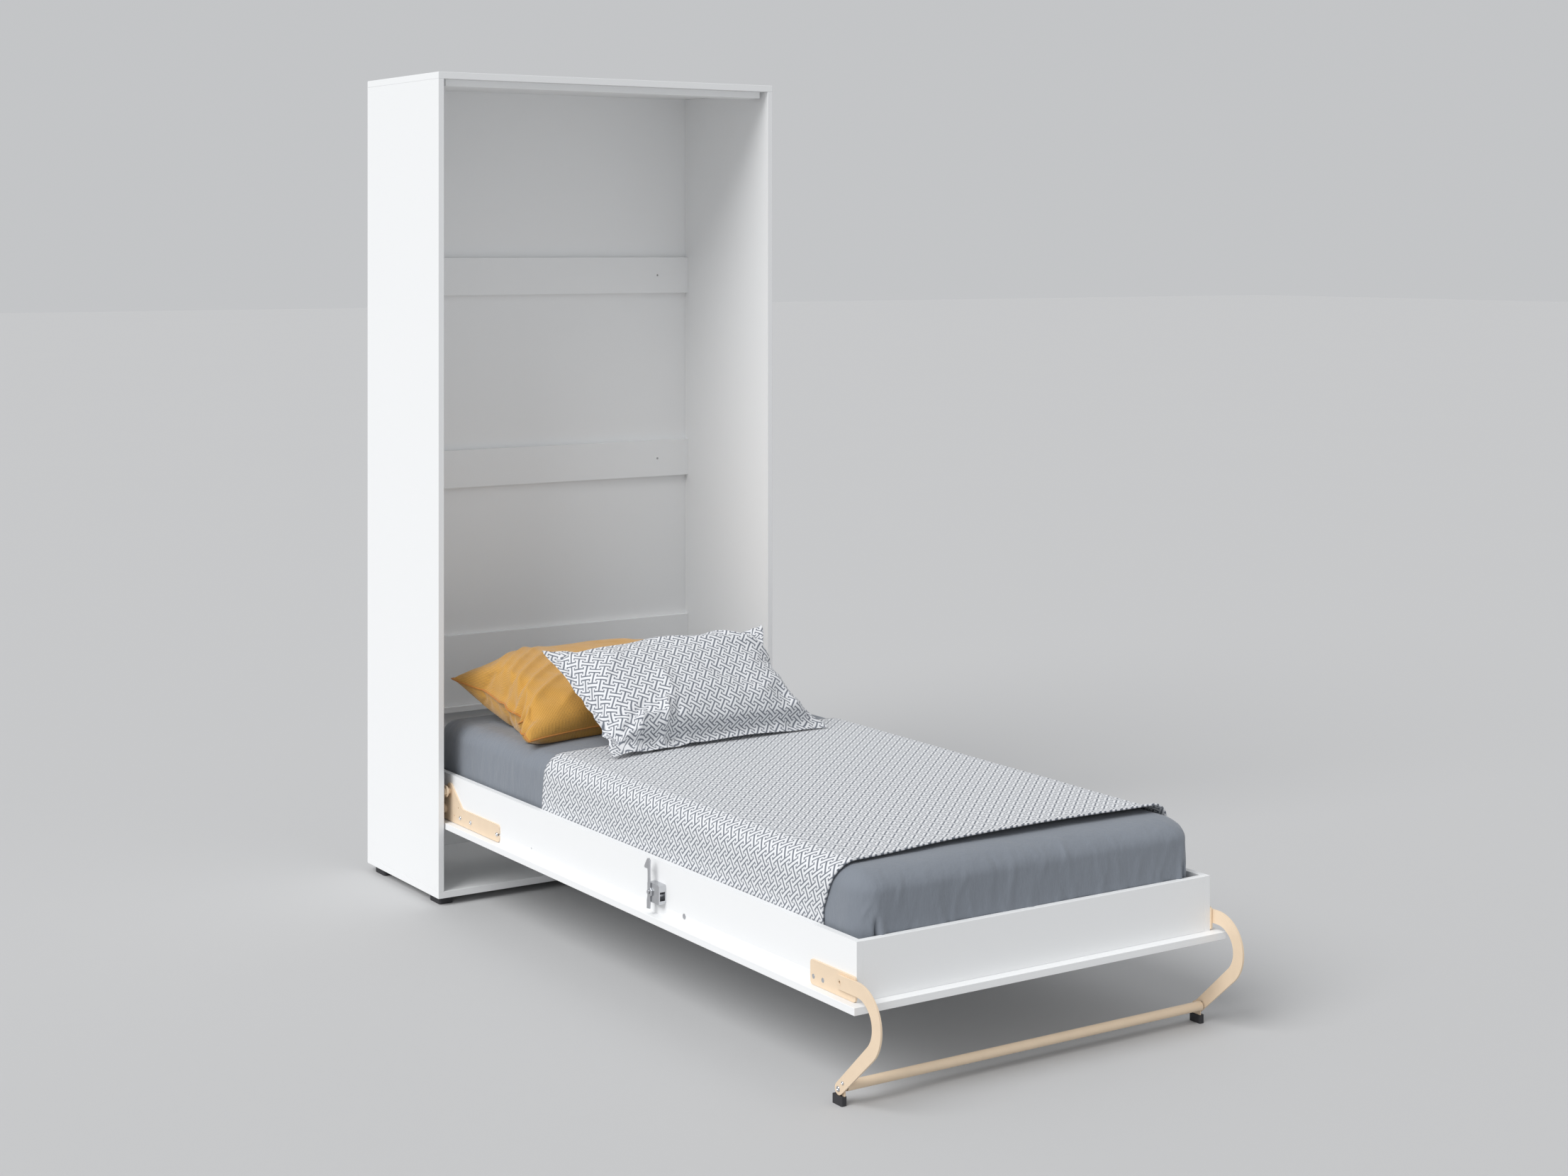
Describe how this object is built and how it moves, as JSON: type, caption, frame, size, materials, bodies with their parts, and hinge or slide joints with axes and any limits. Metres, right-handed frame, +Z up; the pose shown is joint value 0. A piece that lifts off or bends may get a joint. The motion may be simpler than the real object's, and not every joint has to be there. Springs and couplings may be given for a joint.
{
  "type": "murphy wall bed",
  "caption": "Vertical single wall bed that folds down out of a tall open cabinet on side pivots, with gas struts, a swinging foot bail, a side latch, mattress and bedding.",
  "frame": {"origin": "centre of the footprint on the floor, bed folded down", "axes": "+X to the right seen from the foot end, +Y to the wall, +Z up"},
  "size_m": [1.043, 2.4069, 2.19],
  "materials": {
    "white_laminate": "satin white melamine board",
    "beige_steel": "beige powder coat, satin",
    "zinc_steel": "zinc plated",
    "chrome_screw": "bright",
    "black_rubber": "matte",
    "slat_wood": "clear lacquer",
    "mattress_cloth": "smooth cotton sheet",
    "blanket_cloth": "woven lattice pattern",
    "pillow_cloth": "woven lattice pattern",
    "mustard_cloth": "ribbed cotton with piping",
    "strut_paint": "black gloss paint"
  },
  "bodies": {
    "cabinet": {"left_side": "white_laminate", "right_side": "white_laminate", "top_panel": "white_laminate", "bottom_panel": "white_laminate", "back_panel": "white_laminate", "upper_back_rail": "white_laminate", "lower_back_rail": "white_laminate", "headboard_panel": "white_laminate", "headboard_batten": "white_laminate", "top_stop_rail": "white_laminate", "cabinet_feet": "black_rubber", "side_plate_left": "zinc_steel", "side_plate_right": "zinc_steel", "pivot_pin_left": "zinc_steel", "pivot_pin_right": "zinc_steel", "strut_anchor_left": "zinc_steel", "strut_anchor_right": "zinc_steel", "latch_strike": "zinc_steel"},
    "bed": {"base_panel": "white_laminate", "left_rail": "white_laminate", "right_rail": "white_laminate", "foot_board": "white_laminate", "head_board": "white_laminate", "slat_ledge_left": "slat_wood", "slat_ledge_right": "slat_wood", "center_bearer": "slat_wood", "slats": "slat_wood", "hinge_bracket_left": "beige_steel", "hinge_bracket_right": "beige_steel", "bracket_screws": "chrome_screw", "leg_plate_left": "beige_steel", "leg_plate_right": "beige_steel", "leg_plate_screws": "chrome_screw", "leg_pivots": "beige_steel", "mattress_core": "mattress_cloth", "mattress_top": "mattress_cloth", "blanket": "blanket_cloth", "white_pillow": "pillow_cloth", "mustard_pillow": "mustard_cloth", "latch_housing": "zinc_steel", "latch_pin": "zinc_steel", "rail_caps": "zinc_steel", "latch_spring": "zinc_steel"},
    "leg": {"leg_strap_left": "beige_steel", "leg_strap_right": "beige_steel", "crossbar": "beige_steel", "foot_link_left": "beige_steel", "foot_link_right": "beige_steel", "rubber_feet": "black_rubber", "leg_bolts": "chrome_screw"},
    "latch": {"latch_lever": "zinc_steel"},
    "strut_cylinder_left": {"strut_tube_left": "strut_paint"},
    "strut_cylinder_right": {"strut_tube_right": "strut_paint"},
    "strut_piston_left": {"strut_rod_left": "chrome_screw", "rod_link_left": "beige_steel"},
    "strut_piston_right": {"strut_rod_right": "chrome_screw", "rod_link_right": "beige_steel"}
  },
  "joints": [
    {"name": "bed_fold", "type": "hinge", "parent": "cabinet", "child": "bed", "pos_m": [0, 0.78925, 0.24575], "axis": [-1, 0, 0], "range_deg": [0, 90], "deforming": ["mattress_top", "blanket", "white_pillow", "mustard_pillow"]},
    {"name": "leg_fold", "type": "hinge", "parent": "bed", "child": "leg", "pos_m": [0, -1.0605, 0.2475], "axis": [-1, 0, 0], "range_deg": [0, 191.5]},
    {"name": "latch_turn", "type": "hinge", "parent": "bed", "child": "latch", "pos_m": [-0.498, -0.3145, 0.268], "axis": [1, 0, 0], "range_deg": [0, 18], "stiffness_Nm_per_rad": 0.4, "springref_deg": -20.05, "deforming": ["latch_spring"]},
    {"name": "strut_tilt_left", "type": "hinge", "parent": "cabinet", "child": "strut_cylinder_left", "pos_m": [-0.493, 1.1535, 0.28975], "axis": [1, 0, 0], "range_deg": [0, 3.86]},
    {"name": "strut_slide_left", "type": "slide", "parent": "strut_cylinder_left", "child": "strut_piston_left", "axis": [0, 0.9998, -0.0178], "range_m": [0, 0.0802]},
    {"name": "strut_tilt_right", "type": "hinge", "parent": "cabinet", "child": "strut_cylinder_right", "pos_m": [0.493, 1.1535, 0.28975], "axis": [1, 0, 0], "range_deg": [0, 3.86]},
    {"name": "strut_slide_right", "type": "slide", "parent": "strut_cylinder_right", "child": "strut_piston_right", "axis": [0, 0.9998, -0.0178], "range_m": [0, 0.0802]}
  ],
  "couplings": [
    {"joint": "leg_fold", "follows": "bed_fold", "ratio": 2.1222},
    {"joint": "strut_tilt_left", "follows": "bed_fold", "ratio": 0.041792},
    {"joint": "strut_slide_left", "follows": "bed_fold", "m_per_rad": 0.050741},
    {"joint": "strut_tilt_right", "follows": "bed_fold", "ratio": 0.041792},
    {"joint": "strut_slide_right", "follows": "bed_fold", "m_per_rad": 0.050741}
  ]
}
